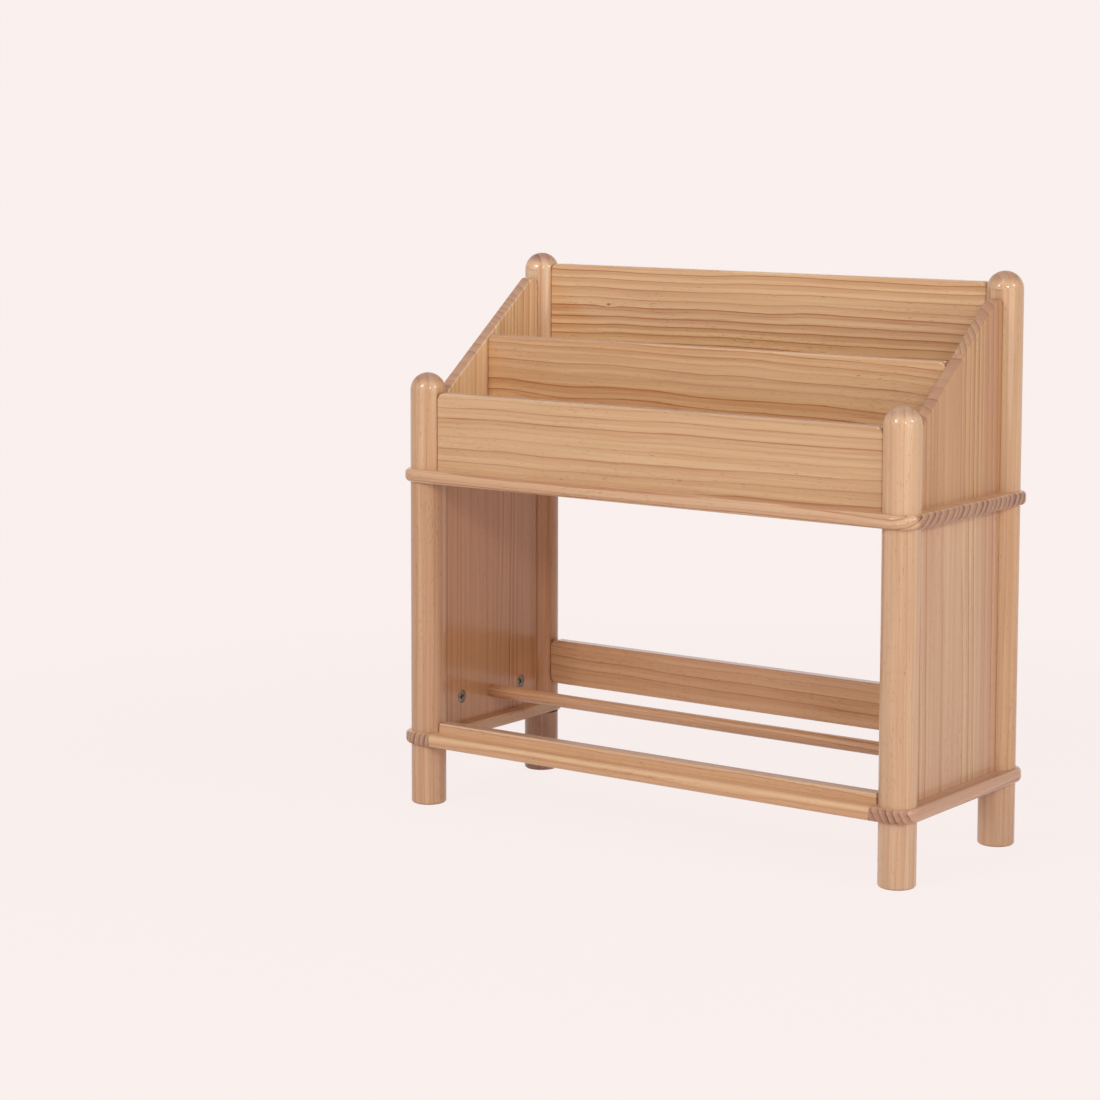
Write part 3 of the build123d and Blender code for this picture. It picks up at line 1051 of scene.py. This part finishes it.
@dataclass(frozen=True)
class CamLock:
    """The turned disc of a cam lock, with its cross recess and the crescent that grips the bolt.

    Attributes:
        radius: The disc's radius.
        depth: How far it reaches into the board, from the board's face.
        sunk: How far its face lies below the board's.
        rim: The width of the rounded rim.
        arm_length: The half length of each arm of the cross.
        arm_width: The half width of an arm.
        recess: How deep the cross is.
        plate: The thickness of the front plate, above the bolt.
        crescent: The crescent's place from the axis, its half thickness and its half length.
        step: How far the first row of the side lies below the rim's round.
        back_plate: The thickness of the back plate, under the bolt.
        taper: How much narrower an arm is at its end, as a share.
        wall: The width of the slope along an arm.
        end_wall: The width of the slope at its end.
        rings: Rows of points on the face.
        spokes: Points round each row.
    """

    radius: float = 0.0074
    depth: float = 0.0122
    sunk: float = 0.0004
    rim: float = 0.0005
    arm_length: float = 0.0041
    arm_width: float = 0.00085
    recess: float = 0.0024
    plate: float = 0.0036
    crescent: Triple = (0.0050, 0.0016, 0.0040)
    step: float = 0.0002
    back_plate: float = 0.0009
    taper: float = 0.25
    wall: float = 0.00022
    end_wall: float = 0.0006
    rings: int = 44
    spokes: int = 160

    def rows(self, turn: float) -> np.ndarray:
        """Work out the disc about its own axis.

        The face is a height over distance and angle: zero, less a soft-edged cross, less a quarter
        round at the rim. Below the front plate the outline shrinks to an ellipse beside the axis,
        which is the crescent, and widens again to the back plate.

        Args:
            turn: The cross's turn about the axis, in radians.

        Returns:
            Points by row and spoke: aside, up, and depth below the board's face.
        """
        angle = np.linspace(0.0, 2 * np.pi, self.spokes, endpoint=False)[None, :]
        reach = np.linspace(0.0, 1.0, self.rings)[:, None] * self.radius
        aside, up = reach * np.cos(angle), reach * np.sin(angle)
        first = np.cos(turn) * aside + np.sin(turn) * up
        second = np.cos(turn) * up - np.sin(turn) * aside
        cross = np.maximum(self._arm(first, second), self._arm(second, first))
        past = np.clip((reach - (self.radius - self.rim)) / self.rim, 0.0, 1.0)
        drop = self.rim * (1.0 - np.sqrt(np.maximum(0.0, 1.0 - past ** 2)))
        face = np.stack([aside, up, self.sunk + cross * self.recess + drop + 0.0 * angle], axis=-1)
        out, thick, wide = self.crescent
        disc, crescent, point = (self.radius, self.radius, 0.0), (wide, thick, out), ORIGIN
        side_top = self.sunk + self.rim + self.step
        plate_top = self.depth - self.back_plate
        outlines = [(disc, side_top), (disc, self.plate), (crescent, self.plate),
                    (crescent, plate_top), (disc, plate_top), (disc, self.depth),
                    (point, self.depth)]
        below = [np.stack([half_wide * np.cos(angle[0]), lift + half_high * np.sin(angle[0]),
                           np.full(self.spokes, level)], axis=-1)
                 for (half_wide, half_high, lift), level in outlines]
        return np.concatenate([face, np.array(below)])

    def _arm(self, lengthways: np.ndarray, sideways: np.ndarray) -> np.ndarray:
        """Work out one arm of the cross: a wedge with a short slope at its edge.

        Args:
            lengthways: The place along the arm.
            sideways: The place across it.

        Returns:
            1 in the arm and 0 off it.
        """
        half_width = self.arm_width * (1.0 - self.taper * np.abs(lengthways) / self.arm_length)
        along = np.clip((half_width - np.abs(sideways)) / self.wall + 0.5, 0.0, 1.0)
        at_end = np.clip((self.arm_length - np.abs(lengthways)) / self.end_wall + 0.5, 0.0, 1.0)
        return along * at_end


@dataclass(frozen=True)
class CamPair:
    """The two cam discs of one board, which stand in for its plain ones.

    Attributes:
        node: The plain discs' node.
        face: The way that the board's face looks: an axis number, and 1 or -1.
        turns: Each cross's turn, in radians.
    """

    node: str
    face: Tuple[int, int]
    turns: Pair

    def build(self, lock: CamLock) -> bpy.types.Object:
        """Make both discs, in a lock's form, as one closed mesh."""
        low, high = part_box(self.node)
        axis, sign = self.face
        level = high[axis] if sign > 0 else low[axis]
        side = 1 - axis
        ends = (low[side] + lock.radius, high[side] - lock.radius)
        points, faces = [], []
        for order, (end, turn) in enumerate(zip(ends, self.turns)):
            rows = lock.rows(turn)
            row_count, spokes = rows.shape[:2]
            places = np.zeros(rows.shape)
            places[..., side] = end + rows[..., 0]
            places[..., 2] = (low[2] + high[2]) / 2 + rows[..., 1]
            places[..., axis] = level - sign * rows[..., 2]
            points.append(places.reshape(-1, 3))
            faces.append(quad_faces(row_count, spokes, order * row_count * spokes))
        mesh = bpy.data.meshes.new(self.node + "_fine")
        mesh.from_pydata(np.concatenate(points).tolist(), [], np.concatenate(faces).tolist())
        close_poles(mesh)
        piece = bpy.data.objects.new(self.node + "_fine", mesh)
        bpy.context.scene.collection.objects.link(piece)
        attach(piece, BODY)
        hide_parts(self.node)
        return piece


def quad_faces(rows: int, spokes: int, first: int) -> np.ndarray:
    """Number the corners of the faces between closed rows of points.

    Args:
        rows: How many rows there are.
        spokes: How many points each has.
        first: The first point's number.

    Returns:
        Four corner numbers for each face.
    """
    grid = first + np.arange(rows * spokes).reshape(rows, spokes)
    after = np.roll(grid, -1, axis=1)
    return np.stack([grid[:-1], grid[1:], after[1:], after[:-1]], axis=-1).reshape(-1, 4)


def close_poles(mesh: bpy.types.Mesh, gap: float = 1e-6, sharp: float = 0.6) -> None:
    """Merge points that lie on each other, turn faces outwards and smooth all but sharp edges.

    Args:
        mesh: The mesh.
        gap: How near to each other points are merged.
        sharp: The angle past which an edge stays sharp, in radians.
    """
    form = bmesh.new()
    form.from_mesh(mesh)
    bmesh.ops.remove_doubles(form, verts=form.verts, dist=gap)
    bmesh.ops.recalc_face_normals(form, faces=form.faces)
    for face in form.faces:
        face.smooth = True
    for edge in form.edges:
        edge.smooth = edge.is_manifold and edge.calc_face_angle(0.0) < sharp
    form.to_mesh(mesh)
    form.free()


@dataclass(frozen=True)
class Hardware:
    """Cams, bolts, studs, screws, inserts and dowels.

    Attributes:
        nodes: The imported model's nodes.
    """

    nodes: Dict[str, bpy.types.Object]

    steel = MetalFinish(linear(152, 140, 126), linear(102, 91, 80))
    brass = MetalFinish(linear(214, 178, 104), linear(150, 118, 66))
    beech = BeechFinish()
    lock = CamLock()
    cam_pairs = (
        CamPair("lower_side_left_cams", (0, 1), (0.14, 0.72)),
        CamPair("upper_side_left_cams", (0, 1), (1.10, 0.35)),
        CamPair("lower_side_right_cams", (0, -1), (0.52, 1.31)),
        CamPair("upper_side_right_cams", (0, -1), (0.25, 0.94)),
        CamPair("front_board_cams", (1, 1), (0.66, 1.42)),
        CamPair("divider_cams", (1, 1), (0.08, 0.81)),
        CamPair("back_board_cams", (1, -1), (1.24, 0.47)),
    )

    def dress(self) -> List[str]:
        """Give every fitting its material and say which were dressed."""
        stuffs = {"steel": self.steel.make("zinc_plated_steel"),
                  "brass": self.brass.make("turned_brass"),
                  "beech": self.beech.make("raw_beech")}
        pieces = [(self.nodes[name], stuffs[stuff]) for ending, stuff in FITTINGS.items()
                  for name in sorted(self.nodes) if name.endswith(ending)]
        pieces += [(pair.build(self.lock), stuffs["steel"]) for pair in self.cam_pairs]
        for piece, material in pieces:
            paint(piece, material)
        return [piece.name for piece, _ in pieces]


def main() -> None:
    """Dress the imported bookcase, light it and set the camera."""
    logging.basicConfig(level=logging.INFO)
    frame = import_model()
    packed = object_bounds()
    nodes = frame["nodes"]
    for name in Joinery(nodes).dress() + Hardware(nodes).dress():
        log.info("dressed %s", name)
    Studio().build((packed[0] + packed[1]) / 2)
    bpy.context.scene.view_settings.view_transform = "Standard"


if __name__ == "__main__":
    main()
